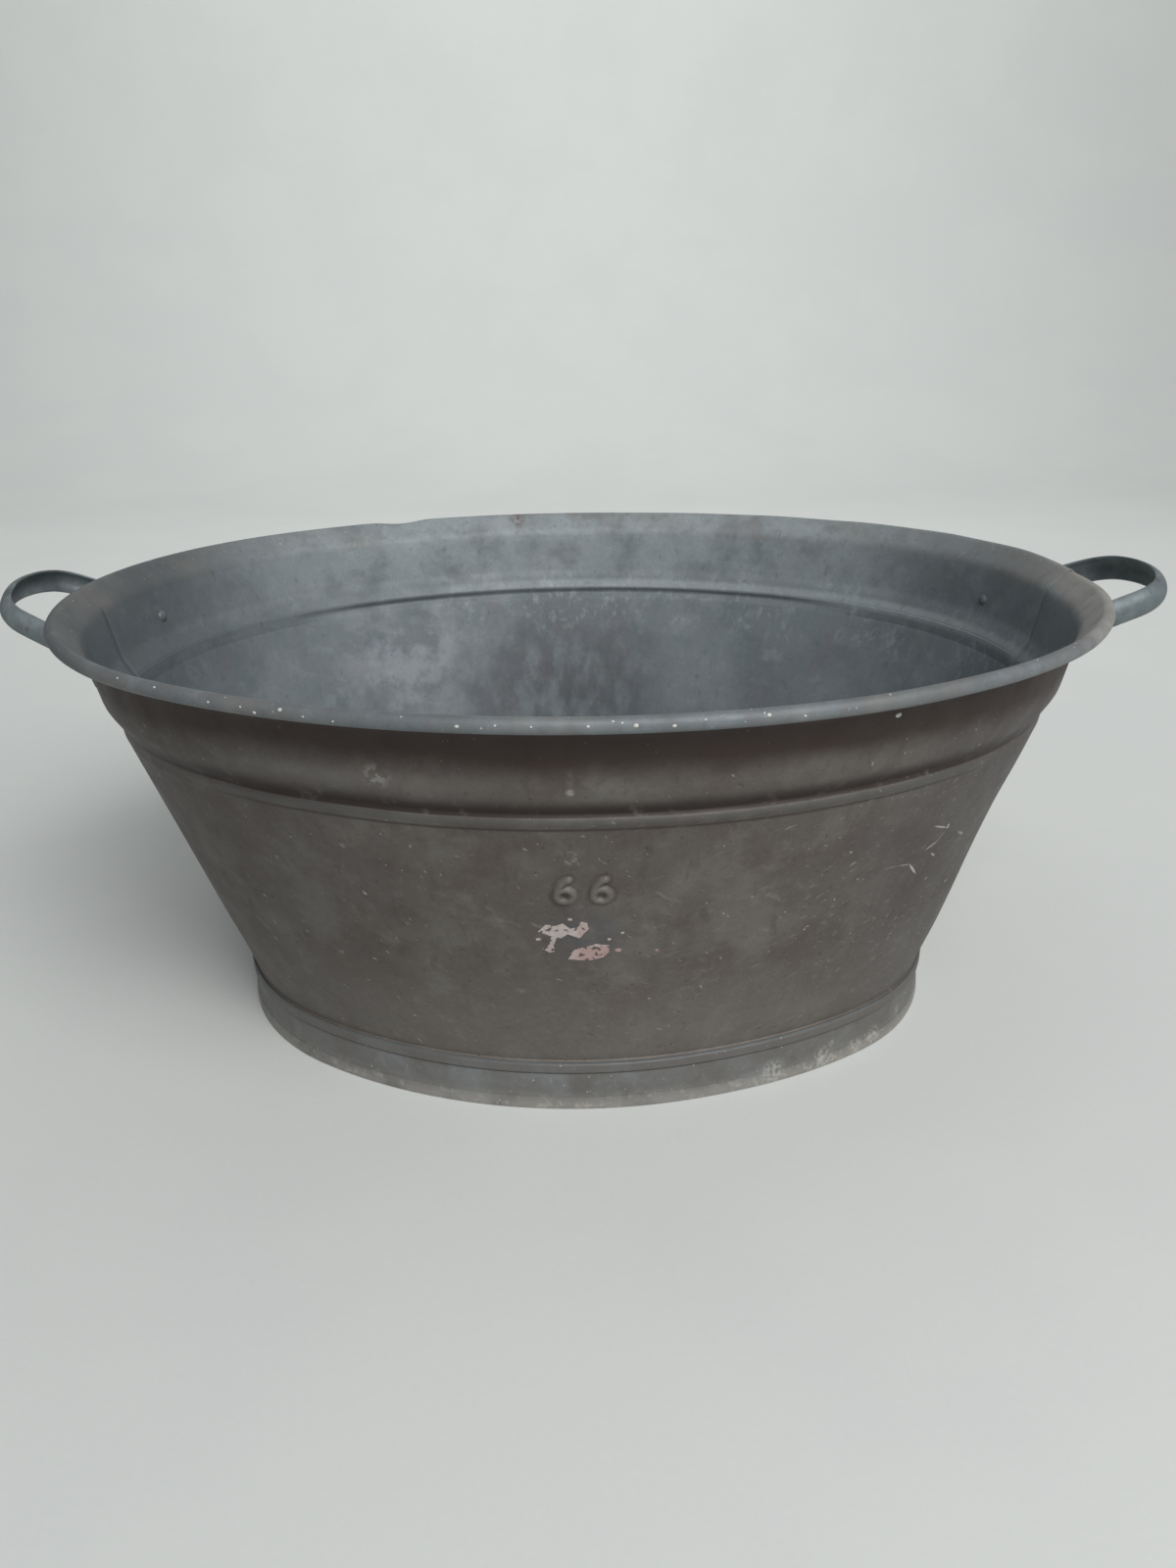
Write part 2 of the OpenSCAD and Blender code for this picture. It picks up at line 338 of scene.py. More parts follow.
def thicken(piece):
    """Gives a wall half its thickness, with the inside and the edges in its second material."""
    apply(piece, "SOLIDIFY", thickness=sheet, offset=0, use_even_offset=True, material_offset=1,
          material_offset_rim=1)
    bpy.ops.object.shade_smooth_by_angle(angle=smooth_angle)


front_wall = wall_half("front_wall")
wave_sheet(front_wall)
lift_rim(front_wall)
swell_foot(front_wall)

# The size number, two sixes: a ring with a stem that rises from its left side, in metres on the wall
digit_height = 0.0190
digit_middles = (-0.0196, -0.0008)
digit_foot = 0.1650
bowl_radius, half_stroke = 0.0043, 0.0016
stem_lean, stem_turn = 0.0034, math.radians(78)
bowl_points, stem_points = 32, 19
field_left, field_right, field_low, field_high = -0.031, 0.011, 0.158, 0.190
field_cuts = 8
# How far each pass reaches from the middle of the stroke, and how much it raises
stroke_levels = ((0.0022, 0.0006), (0.0017, 0.0008), (0.0012, 0.0006), (0.0007, 0.0003))


def six_stroke():
    """Points along the middle of the stroke of a 6 that stands on the origin."""
    points = []
    bowl_level = bowl_radius + half_stroke
    for i in range(bowl_points):
        a = math.tau * i / bowl_points
        points.append(Vector((bowl_radius * math.cos(a), bowl_level + bowl_radius * math.sin(a))))
    stem_reach = stem_lean + bowl_radius
    stem_rise = digit_height - half_stroke - bowl_level
    for i in range(stem_points):
        a = stem_turn * i / (stem_points - 1)
        points.append(Vector((stem_lean - stem_reach * math.cos(a), bowl_level + stem_rise * math.sin(a))))
    return points


def in_number_field(co):
    return co.y < 0 and field_left < co.x < field_right and field_low < co.z < field_high


choose(front_wall, "FACE", in_number_field)
bpy.ops.mesh.subdivide(number_cuts=field_cuts)
stroke = [Vector((middle, 0)) + p for middle in digit_middles for p in six_stroke()]
wall_slope = math.cos(math.atan2(wall_foot.x - wall_top.x, wall_top.y - wall_foot.y))


def stroke_distance(co):
    """How far a place on the wall lies from the middle of the nearest stroke."""
    if not in_number_field(co):
        return math.inf
    flat = Vector((co.x, (co.z - digit_foot) / wall_slope))
    return min((flat - p).length for p in stroke)


for reach, rise in stroke_levels:
    choose(front_wall, "VERT", lambda co: stroke_distance(co) < reach)
    bpy.ops.transform.shrink_fatten(value=rise)
choose(front_wall, "VERT", in_number_field)
bpy.ops.mesh.vertices_smooth(factor=0.5)
enter("OBJECT")

# 1 on the middle of a stroke, falling to 0 around it, for the painted highlight on the raised number's
# strokes and the painted shade around them
number_light_reach = 0.0055
wear = front_wall.data.attributes.new("number_painted_light", "FLOAT", "POINT")
wear.data.foreach_set(
    "value", [max(0, 1 - stroke_distance(vertex.co) / number_light_reach) for vertex in front_wall.data.vertices]
)


def tone(red, green, blue):
    """A colour card's red, green and blue, from 0 to 255, as the shader takes them."""
    shares = [level / 255 for level in (red, green, blue)]
    return tuple(((s + 0.055) / 1.055) ** 2.4 if s > 0.04 else s / 12.92 for s in shares) + (1,)


class Finish:
    """A surface that is built up in layers of tone."""

    def __init__(self, name, ground, metallic, roughness):
        self.material = bpy.data.materials.new(name)
        self.material.use_nodes = True
        self.tree = self.material.node_tree
        self.shader = self.tree.nodes["Principled BSDF"]
        self.shader.inputs["Metallic"].default_value = metallic
        self.shader.inputs["Roughness"].default_value = roughness
        self.place = self.add("ShaderNodeTexCoord").outputs["Object"]
        self.colour = tone(*ground)
        self.height = None

    def add(self, kind, **sockets):
        node = self.tree.nodes.new(kind)
        for name, value in sockets.items():
            self.put(node.inputs[name.replace("_", " ")], value)
        return node

    def put(self, socket, value):
        if isinstance(value, bpy.types.NodeSocket):
            self.tree.links.new(value, socket)
        else:
            socket.default_value = value

    def math(self, operation, *values, kind="ShaderNodeMath"):
        node = self.add(kind)
        node.operation = operation
        for socket, value in zip(node.inputs, values):
            self.put(socket, value)
        return node.outputs["Value"]

    def placed(self, location, turn, scale):
        """The place seen in a frame that is moved, turned and scaled."""
        node = self.add("ShaderNodeMapping", Vector=self.place, Location=location, Rotation=turn,
                        Scale=scale)
        node.vector_type = "TEXTURE"
        return node.outputs[0]

    def ramp(self, value, low, high):
        """0 below low, 1 above high, or the other way round where low is the larger."""
        node = self.add("ShaderNodeMapRange", Value=value, From_Min=low, From_Max=high)
        node.interpolation_type = "SMOOTHSTEP"
        return node.outputs[0]

    def cloud(self, size, shift=0, detail=4, stretch=(1, 1, 1), turn=(0, 0, 0)):
        """Cloudy noise with patches of about that size, stretched and then turned."""
        place = self.placed((shift, 2 * shift, 3 * shift), turn, [size * s for s in stretch])
        node = self.add("ShaderNodeTexNoise", Vector=place, Scale=1, Detail=detail, Roughness=0.6)
        return node.outputs["Fac"]

    def patches(self, low, high, *cloud):
        """Patches of a cloud: 0 where it is below low, 1 where it is above high."""
        return self.ramp(self.cloud(*cloud), low, high)

    def attribute(self, name):
        node = self.add("ShaderNodeAttribute")
        node.attribute_name = name
        return node.outputs["Fac"]

    def axis(self, name):
        return self.add("ShaderNodeSeparateXYZ", Vector=self.place).outputs[name]

    def band(self, axis, low, high, soft):
        """1 between two places along an axis, with soft edges."""
        value = self.axis(axis)
        above = self.ramp(value, low - soft, low + soft)
        return self.both(above, self.ramp(value, high + soft, high - soft))

    def near(self, place, reach, soft):
        """1 close to a place, 0 from the reach on."""
        distance = self.math("DISTANCE", self.place, place, kind="ShaderNodeVectorMath")
        return self.ramp(distance, reach + soft, reach - soft)

    def stroke(self, start, end, width, out):
        """1 along a thin stroke between two places on a sheet that faces out, fading at its ends."""
        through = 0.006
        along = end - start
        side = Vector(out).cross(along).normalized()
        axes = Matrix((along.normalized(), side, along.normalized().cross(side))).transposed()
        half_sizes = (along.length / 2, width / 2, through)
        place = self.placed((start + end) / 2, axes.to_euler(), half_sizes)
        return self.ramp(self.math("LENGTH", place, kind="ShaderNodeVectorMath"), 1.15, 0.45)

    def both(self, *masks):
        result = masks[0]
        for mask in masks[1:]:
            result = self.math("MULTIPLY", result, mask)
        return result

    def lay(self, card, mask, amount):
        """A layer of a colour card's tone where the mask is."""
        node = self.add("ShaderNodeMix")
        node.data_type = "RGBA"
        self.put(node.inputs["Factor"], self.math("MULTIPLY", mask, amount))
        self.put(node.inputs[6], self.colour)
        self.put(node.inputs[7], tone(*card))
        self.colour = node.outputs[2]

    def between(self, low, high, cloud):
        """The usual range of a cloud, stretched from low to high."""
        node = self.add("ShaderNodeMapRange", Value=cloud, From_Min=0.3, From_Max=0.7, To_Min=low,
                        To_Max=high)
        return node.outputs[0]

    def grain(self, size, amount, shift=0, stretch=(1, 1, 1)):
        """Lighter and darker grains all over."""
        value = self.between(1 - amount, 1 + amount, self.cloud(size, shift, 3, stretch))
        node = self.add("ShaderNodeVectorMath")
        node.operation = "SCALE"
        self.put(node.inputs[0], self.colour)
        self.put(node.inputs["Scale"], value)
        self.colour = node.outputs[0]

    def relief(self, value, depth):
        """Raises the surface by up to a depth in metres where the value is high."""
        node = self.add("ShaderNodeBump", Strength=1, Distance=depth, Height=value)
        if self.height is not None:
            self.put(node.inputs["Normal"], self.height)
        self.height = node.outputs[0]

    def gloss(self, cloud, low, high):
        """Roughness that goes from low to high with a cloud."""
        self.put(self.shader.inputs["Roughness"], self.between(low, high, cloud))

    def done(self):
        self.put(self.shader.inputs["Base Color"], self.colour)
        if self.height is not None:
            self.put(self.shader.inputs["Normal"], self.height)
        return self.material


# Bright scrapes where something sharp has slid along the right of the wall, which faces scraped_side
# there: where each one starts and ends, in metres along and up, its width and its strength
scraped_side = (0.55, -0.83, 0)
scrapes = (
    ((0.1885, 0.1795), (0.2005, 0.1735), 0.0012, 0.75),
    ((0.2005, 0.1725), (0.2005, 0.1770), 0.0018, 0.75),
    ((0.2000, 0.1715), (0.1945, 0.1645), 0.0012, 0.30),
    ((0.1965, 0.1655), (0.1870, 0.1610), 0.0017, 0.55),
    ((0.1855, 0.1435), (0.1775, 0.1550), 0.0017, 0.75),
    ((0.1790, 0.1540), (0.1690, 0.1565), 0.0012, 0.40),
    ((0.1705, 0.1565), (0.1570, 0.1580), 0.0016, 0.18),
    ((0.1930, 0.1570), (0.1975, 0.1525), 0.0017, 0.50),
    ((0.2120, 0.1650), (0.2185, 0.1590), 0.0020, 0.40),
)

# Pale splashes, with how far each one spreads
splash_places = (((-0.109, -0.229, 0.243), 0.006), ((-0.017, -0.229, 0.196), 0.004))


def on_right_cone(x, z):
    """The place on the front of the cone's right end at a height."""
    inset = wall_foot.lerp(wall_top, (z - wall_foot.y) / (wall_top.y - wall_foot.y)).x
    return Vector((x, -math.sqrt((end_radius - inset) ** 2 - (x - end_centre) ** 2), z))


def outer_zinc():
    """The outside: dull zinc in greenish and brownish greys, with painted shade under the lip, and dirt and
    painted shade in the groove.
    """
    zinc = Finish("outer_zinc", (90, 84, 80), 0.2, 0.55)
    along, back, height = zinc.axis("X"), zinc.axis("Y"), zinc.axis("Z")
    zinc.lay((105, 101, 95), zinc.patches(0.46, 0.64, 0.050, 1), 0.75)
    zinc.lay((82, 72, 68), zinc.patches(0.48, 0.66, 0.040, 3), 0.7)
    zinc.lay((114, 109, 104), zinc.patches(0.52, 0.72, 0.018, 7, 6), 0.5)
    zinc.lay((72, 64, 60), zinc.patches(0.55, 0.72, 0.007, 9, 3, (1, 1, 9)), 0.4)
    # Painted light towards the foot, where light from the floor falls on the wall
    to_foot = zinc.ramp(height, 0.13, 0.05)
    zinc.lay((120, 115, 109), to_foot, 0.5)
    # Painted shade towards the left end of the wall
    to_left = zinc.ramp(along, -0.06, -0.27)
    zinc.lay((62, 56, 52), to_left, 0.55)
    # Painted shade towards the right end of the wall
    to_right = zinc.ramp(along, 0.06, 0.24)
    zinc.lay((70, 65, 64), to_right, 0.55)
    zinc.grain(0.004, 0.07, 2)
    zinc.grain(0.0012, 0.09, 1)
    zinc.lay((58, 50, 46), zinc.patches(0.68, 0.73, 0.004, 5, 2), 0.5)
    smears = zinc.patches(0.60, 0.74, 0.007, 41, 4, (2.6, 1, 1), (0, 0.6, 0))
    smeared = zinc.both(zinc.patches(0.42, 0.60, 0.08, 43), zinc.ramp(height, 0.205, 0.16))
    zinc.lay((134, 131, 125), zinc.both(smears, smeared), 0.5)
    dashes = zinc.patches(0.69, 0.73, 0.0034, 19, 2, (2.4, 1, 1), (0, 0.8, 0))
    zinc.lay((166, 164, 158), zinc.both(dashes, zinc.patches(0.42, 0.58, 0.07, 23)), 0.75)
    broken = zinc.patches(0.22, 0.46, 0.012, 11)
    from_middle = zinc.math("ABSOLUTE", along)
    # Painted shade along the top of the ridge, darker than the wall, to tone down the light that falls on
    # it
    painted_shade_on_ridge_top = zinc.both(zinc.band("Z", 0.2180, 0.2216, 0.0008), zinc.ramp(from_middle, 0.25, 0.17))
    zinc.lay((78, 78, 77), painted_shade_on_ridge_top, 0.6)
    # Dirt and painted shade in the groove: dark brown, fading up the step, ending sharply at the ridge,
    # weaker towards the ends
    groove_dirt_and_shade = zinc.both(zinc.ramp(height, 0.2350, 0.2262), zinc.ramp(height, 0.2216, 0.2225))
    zinc.lay((44, 34, 29), zinc.both(groove_dirt_and_shade, broken, zinc.ramp(from_middle, 0.31, 0.20)), 0.95)
    # Painted shade along the underside of the ridge, a thin brown line
    painted_shade_under_ridge = zinc.both(zinc.band("Z", 0.2134, 0.2152, 0.0007), zinc.ramp(from_middle, 0.23, 0.16))
    zinc.lay((50, 37, 31), zinc.both(painted_shade_under_ridge, broken), 0.7)
    # Painted light on the collar's foot left of the middle, where the painted shade under the lip also
    # stops higher
    paler_collar_stretch = zinc.both(zinc.ramp(along, -0.04, -0.10), zinc.ramp(along, -0.21, -0.15))
    painted_light_collar_foot = zinc.band("Z", 0.2365, 0.2450, 0.004)
    zinc.lay((114, 110, 106), zinc.both(painted_light_collar_foot, paler_collar_stretch), 0.4)
    # Painted shade under the lip: dark warm brown, with an uneven lower edge
    uneven = zinc.math("ADD", height, zinc.math("MULTIPLY", zinc.cloud(0.04, 51), 0.012))
    uneven = zinc.math("SUBTRACT", uneven, zinc.math("MULTIPLY", paler_collar_stretch, 0.004))
    painted_shade_under_lip = zinc.ramp(uneven, 0.246, 0.263)
    zinc.lay((46, 31, 24), painted_shade_under_lip, 0.93)
    glue = zinc.near((-0.008, -0.212, 0.140), 0.018, 0.009)
    zinc.lay((80, 80, 85), zinc.both(glue, zinc.patches(0.3, 0.6, 0.008, 37)), 0.6)
    # Painted shade around the number's strokes and a painted highlight along their crests
    wear = zinc.attribute("number_painted_light")
    around = zinc.both(zinc.ramp(wear, 0.12, 0.32), zinc.ramp(wear, 0.62, 0.42))
    zinc.lay((62, 52, 47), zinc.both(around, zinc.patches(0.3, 0.55, 0.008, 33)), 0.4)
    zinc.lay((128, 124, 119), zinc.both(zinc.ramp(wear, 0.55, 0.85), broken), 0.3)
    flecks = zinc.patches(0.72, 0.76, 0.0022, 13, 2)
    flecked = zinc.both(zinc.patches(0.46, 0.62, 0.06, 17), zinc.ramp(along, 0.19, 0.03))
    zinc.lay((176, 173, 168), zinc.both(flecks, flecked), 0.65)
    scratches = zinc.patches(0.70, 0.75, 0.0016, 29, 1, (20, 1, 1), (0, -0.35, 0))
    scratched = zinc.both(zinc.ramp(along, -0.05, 0.2), zinc.ramp(height, 0.235, 0.205))
    zinc.lay((160, 157, 152), zinc.both(scratches, scratched), 0.5)
    splashes = zinc.patches(0.50, 0.56, 0.004, 47, 3)
    for place, reach in splash_places:
        zinc.lay((152, 149, 144), zinc.both(splashes, zinc.near(place, reach, 0.6 * reach)), 0.55)
    for start, end, width, amount in scrapes:
        scrape = zinc.stroke(on_right_cone(*start), on_right_cone(*end), width, scraped_side)
        zinc.lay((196, 194, 190), scrape, amount)
    run = zinc.both(zinc.band("X", -0.0178, -0.0156, 0.0018), zinc.band("Z", 0.2395, 0.2490, 0.005),
                    zinc.ramp(back, -0.1, -0.2), zinc.patches(0.35, 0.6, 0.003, 53))
    zinc.lay((146, 143, 142), run, 0.3)
    drop = zinc.near((-0.0167, -0.2443, 0.2382), 0.0015, 0.0015)
    zinc.lay((180, 177, 174), zinc.both(drop, zinc.patches(0.3, 0.55, 0.001, 55)), 0.7)
    zinc.relief(zinc.cloud(0.0025, 1), 0.00012)
    zinc.relief(zinc.cloud(0.03, 29), 0.0004)
    zinc.gloss(zinc.cloud(0.02, 31), 0.66, 0.52)
    return zinc.done()


def inner_zinc():
    """The inside, the lip and the roll: bluish zinc with chalky clouds, water marks and a darker foot."""
    zinc = Finish("inner_zinc", (109, 117, 121), 0.2, 0.55)
    along, back, height = zinc.axis("X"), zinc.axis("Y"), zinc.axis("Z")
    zinc.lay((92, 101, 105), zinc.patches(0.42, 0.66, 0.05, 3), 0.6)
    zinc.lay((110, 107, 111), zinc.patches(0.46, 0.68, 0.04, 5), 0.5)
    zinc.lay((132, 139, 142), zinc.patches(0.42, 0.70, 0.09, 15, 3), 0.5)
    zinc.lay((140, 148, 150), zinc.patches(0.52, 0.74, 0.018, 21, 5), 0.35)
    upper = zinc.both(zinc.ramp(height, 0.228, 0.244), zinc.ramp(back, 0.08, 0.22))
    zinc.lay((150, 158, 161), zinc.both(upper, zinc.patches(0.26, 0.60, 0.03, 39, 5)), 0.65)
    pale = zinc.near((-0.140, 0.189, 0.170), 0.050, 0.040)
    zinc.lay((152, 155, 160), zinc.both(pale, zinc.patches(0.40, 0.58, 0.03, 45, 4)), 0.6)
    dark = zinc.near((-0.01, 0.215, 0.120), 0.080, 0.045)
    streaks = zinc.patches(0.32, 0.6, 0.02, 7, 4, (1, 1, 2.5))
    zinc.lay((72, 70, 74), zinc.both(dark, streaks), 0.7)
    to_foot = zinc.ramp(height, 0.18, 0.08)
    zinc.lay((72, 80, 84), to_foot, 0.3)
    left_end_shade = zinc.ramp(along, -0.25, -0.31)
    zinc.lay((70, 75, 77), left_end_shade, 0.45)
    marks = zinc.patches(0.50, 0.68, 0.0055, 9, 4, (1, 1, 1.7))
    marked = zinc.both(zinc.patches(0.38, 0.58, 0.06, 35, 2), zinc.ramp(along, -0.17, -0.05))
    zinc.lay((152, 159, 160), zinc.both(marks, marked, zinc.band("Z", 0.190, 0.240, 0.012)), 0.4)
    # Painted light over the shade inside the groove, strongest right of the middle
    painted_light_in_groove = zinc.both(zinc.band("Z", 0.2215, 0.2300, 0.002), zinc.ramp(along, -0.22, 0.0))
    zinc.lay((158, 166, 168), painted_light_in_groove, 0.45)
    zinc.lay((72, 78, 81), zinc.patches(0.60, 0.74, 0.005, 25, 3, (1, 1, 2)), 0.35)
    zinc.grain(0.005, 0.05, 2)
    zinc.grain(0.0014, 0.07, 1)
    rim = zinc.ramp(height, 0.262, 0.272)
    right_end_rim = zinc.both(zinc.ramp(height, 0.267, 0.279), zinc.ramp(along, 0.20, 0.28),
                              zinc.ramp(back, -0.19, -0.14), zinc.ramp(back, 0.07, -0.03))
    zinc.lay((154, 150, 145), right_end_rim, 0.8)
    right_rear_rim = zinc.both(rim, zinc.ramp(along, 0.12, 0.30), zinc.ramp(back, 0.0, 0.09))
    zinc.lay((126, 130, 130), right_rear_rim, 0.4)
    front_rim = zinc.both(rim, zinc.ramp(back, -0.12, -0.19))
    zinc.lay((92, 88, 87), zinc.both(front_rim, zinc.patches(0.34, 0.62, 0.022, 57, 5)), 0.4)
    zinc.lay((92, 90, 90), zinc.both(rim, zinc.patches(0.50, 0.68, 0.012, 49, 5)), 0.3)
    left_rim = zinc.both(rim, zinc.ramp(along, -0.18, -0.31))
    zinc.lay((78, 77, 76), left_rim, 0.4)
    zinc.lay((118, 113, 108), zinc.both(rim, zinc.patches(0.44, 0.64, 0.05, 27)), 0.4)
    rust = zinc.both(zinc.near((-0.046, half_width - 0.010, tub_height - 0.005), 0.006, 0.004),
                     zinc.patches(0.4, 0.6, 0.003, 13))
    zinc.lay((92, 66, 44), rust, 0.85)
    seam = zinc.both(zinc.band("Y", -0.0006, 0.0006, 0.0004), zinc.ramp(height, 0.275, 0.268),
                     zinc.ramp(along, 0.1, -0.1))
    zinc.lay((50, 48, 47), seam, 0.85)
    flecks = zinc.both(zinc.patches(0.71, 0.75, 0.0024, 17, 2), zinc.ramp(height, 0.268, 0.276))
    zinc.lay((205, 204, 200), flecks, 0.8)
    zinc.relief(zinc.cloud(0.003, 1), 0.0001)
    zinc.relief(zinc.cloud(0.03, 29), 0.0004)
    zinc.gloss(zinc.cloud(0.02, 31), 0.68, 0.54)
    return zinc.done()


outside = outer_zinc()
inside = inner_zinc()


def finish_wall(piece, node):
    piece.data.materials.append(outside)
    piece.data.materials.append(inside)
    thicken(piece)
    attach(piece, "root")
    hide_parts(node)


finish_wall(front_wall, "front_wall_sheet")

# Rear wall. The other half, pressed alike and turned round, without a number. Its rolled rim has had
# a knock to the left of the middle.
knock_place, knock, knock_reach = (-0.143, 0.238, rim_level), (0, 0.0005, -0.0022), 0.022


def knock_rim(piece):
    dent(piece, knock_place, knock, knock_reach)


def turn_round(angle):
    """Turns the active piece about the tub's upright middle line."""
    enter("EDIT")
    select_mesh()
    bpy.ops.transform.rotate(value=angle, orient_axis="Z", center_override=(0, 0, 0))
    enter("OBJECT")


rear_wall = wall_half("rear_wall")
wave_sheet(rear_wall)
turn_round(math.pi)
lift_rim(rear_wall)
swell_foot(rear_wall)
knock_rim(rear_wall)
finish_wall(rear_wall, "rear_wall_sheet")

# Side seams. At each end the two sheets are folded into each other and flattened into a strip on the
# outside of the cone, two sheets thick, that runs up to the step under the collar.
seam_turn, seam_steps = math.radians(2.1), 4
seam_row, seam_bevel = 0.006, 0.0007
clearance = 0.0001
seam_start, seam_stop = 0.05, 0.9
seam_rows = [wall_foot.lerp(wall_top, seam_start), wall_top, wall_top.lerp(groove, seam_stop)]
seam_out = Vector((-(sheet / 2 + clearance), 0))
for side, turn in (("right", 0), ("left", math.pi)):
    seam = draw_line(side + "_side_seam", in_rows([p + seam_out for p in seam_rows], seam_row))
    bpy.ops.transform.rotate(value=-seam_turn, orient_axis="Z", center_override=right_end)
    sweep([(seam_steps, 2 * seam_turn, right_end)])
    face_out(seam, lambda face: face.normal.x < 0)
    apply(seam, "SOLIDIFY", thickness=2 * sheet, offset=1)
    apply(seam, "BEVEL", width=seam_bevel, segments=2, limit_method="ANGLE")
    turn_round(turn)
    bpy.ops.object.shade_smooth_by_angle(angle=smooth_angle)
    swell_foot(seam)
    seam.data.materials.append(outside)
    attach(seam, "root")

# Rim wire. A steel wire that the rim is rolled around, which stiffens it. It shows only in the slit
# under the roll, and it shares the lift and the knock in the rim.
wire_radius, wire_sides = 0.0026, 16
whole_turn = [
    (end_steps, joint_angle, right_end),
    (side_steps, side_turn, front_centre),
    (2 * end_steps, 2 * joint_angle, left_end),
    (side_steps, side_turn, rear_centre),
    (end_steps, joint_angle, right_end),
]
wire_line = [roll_centre + turned(Vector((wire_radius, 0)), math.tau * i / wire_sides)
             for i in range(wire_sides + 1)]
wire = draw_line("rim_wire_ring", wire_line)
sweep(whole_turn)
face_out(wire, lambda face: face.normal.z * (face.center.z - roll_centre.y) < -tiny)
lift_rim(wire)
knock_rim(wire)
bpy.ops.object.shade_smooth()


def wire_steel():
    """Drawn steel, browned by rust."""
    steel = Finish("wire_steel", (92, 88, 84), 0.6, 0.5)
    steel.lay((84, 64, 50), steel.patches(0.45, 0.65, 0.008), 0.7)
    steel.grain(0.001, 0.1)
    steel.relief(steel.cloud(0.001), 0.00005)
    steel.gloss(steel.cloud(0.004), 0.6, 0.4)
    return steel.done()


wire.data.materials.append(wire_steel())
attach(wire, "root")
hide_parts("rim_wire")

# Bottom. A flat sheet whose edge is turned down over the hoop. The wall's flange lies on top of it.
# It has sagged a little unevenly.
strip_height, strip_bend = 0.006, 0.0009
middle_inset, sag_inset = 0.236, 0.105
bottom_row = 0.008
strip_foot = Vector((flange_edge.x, bottom_top - strip_height))
strip_top = Vector((flange_edge.x, bottom_top - sheet / 2))
middle_edge = Vector((middle_inset, bottom_top - sheet / 2))
bottom_line = [strip_foot] + rounded(strip_foot, strip_top, middle_edge, strip_bend) + [middle_edge]
bottom = draw_line("bottom_sheet", in_rows(bottom_line, bottom_row))
sweep(whole_turn)
choose(bottom, "VERT", lambda co: inset_of(co) > middle_edge.x - tiny)
bpy.ops.mesh.remove_doubles(threshold=weld)
bpy.ops.mesh.edge_face_add()
face_out(bottom, lambda face: face.center.z > strip_top.y - tiny and face.normal.z < 0)
choose(bottom, "VERT", lambda co: inset_of(co) > sag_inset)
bpy.ops.object.vertex_group_assign_new()
select_mesh()
bpy.ops.object.vertex_group_smooth(factor=0.5, repeat=6)
enter("OBJECT")
wave_sheet(bottom)
apply(bottom, "SOLIDIFY", thickness=sheet, offset=0, use_even_offset=True)
bpy.ops.object.shade_smooth_by_angle(angle=smooth_angle)


def bottom_zinc():
    """Dull zinc with chalky clouds and a few rust stains."""
    zinc = Finish("bottom_zinc", (112, 116, 117), 0.25, 0.5)
    zinc.lay((136, 142, 144), zinc.patches(0.46, 0.64, 0.06), 0.7)
    zinc.lay((94, 89, 86), zinc.patches(0.50, 0.66, 0.05, 3), 0.6)
    zinc.lay((156, 161, 161), zinc.patches(0.56, 0.72, 0.018, 5, 6), 0.4)
    zinc.lay((96, 74, 58), zinc.patches(0.64, 0.74, 0.012, 11), 0.5)
    zinc.grain(0.004, 0.05)
    zinc.grain(0.0012, 0.07, 2)
    zinc.relief(zinc.cloud(0.003), 0.0001)
    zinc.relief(zinc.cloud(0.05, 7), 0.0006)
    zinc.gloss(zinc.cloud(0.02, 9), 0.6, 0.45)
    return zinc.done()


bottom.data.materials.append(bottom_zinc())
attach(bottom, "root")
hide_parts("bottom_pan")

# Foot hoop. An upright band that the tub stands on. Its lower edge is folded up outwards into a hem,
# and damp has left a pale bloom along it.
hem_height, hem_lean = 0.0085, 0.0003
fold_step, hoop_row = math.radians(30), 0.004
hoop_smooth_angle = math.radians(50)
hoop_inset = flange_edge.x + sheet + clearance
fold_radius = (sheet + clearance) / 2
hoop_top = Vector((hoop_inset, bottom_top - sheet))
fold_start = Vector((hoop_inset, fold_radius + sheet / 2))
hem_top = Vector((hoop_inset - hem_lean, hem_height))
hem_fold = arc(fold_start, Vector((0, -1)), fold_radius, -math.pi, fold_step)
hoop = draw_line("foot_ring", in_rows([hoop_top] + hem_fold + [hem_top], hoop_row))
sweep(whole_turn)
face_out(hoop, lambda face: face.center.z > hem_top.y + sheet and face.normal.xy.dot(face.center.xy) < 0)
apply(hoop, "SOLIDIFY", thickness=sheet, offset=0, use_even_offset=True)
bpy.ops.object.shade_smooth_by_angle(angle=hoop_smooth_angle)

# Where the bloom has grown into a crust, and how far it spreads
crust_places = (
    ((0.110, -0.162, 0.008), 0.007), ((0.145, -0.149, 0.007), 0.007), ((0.168, -0.1345, 0.006), 0.005),
    ((0.183, -0.1264, 0.007), 0.006), ((0.205, -0.1084, 0.014), 0.003), ((0.150, -0.1435, 0.016), 0.002),
)


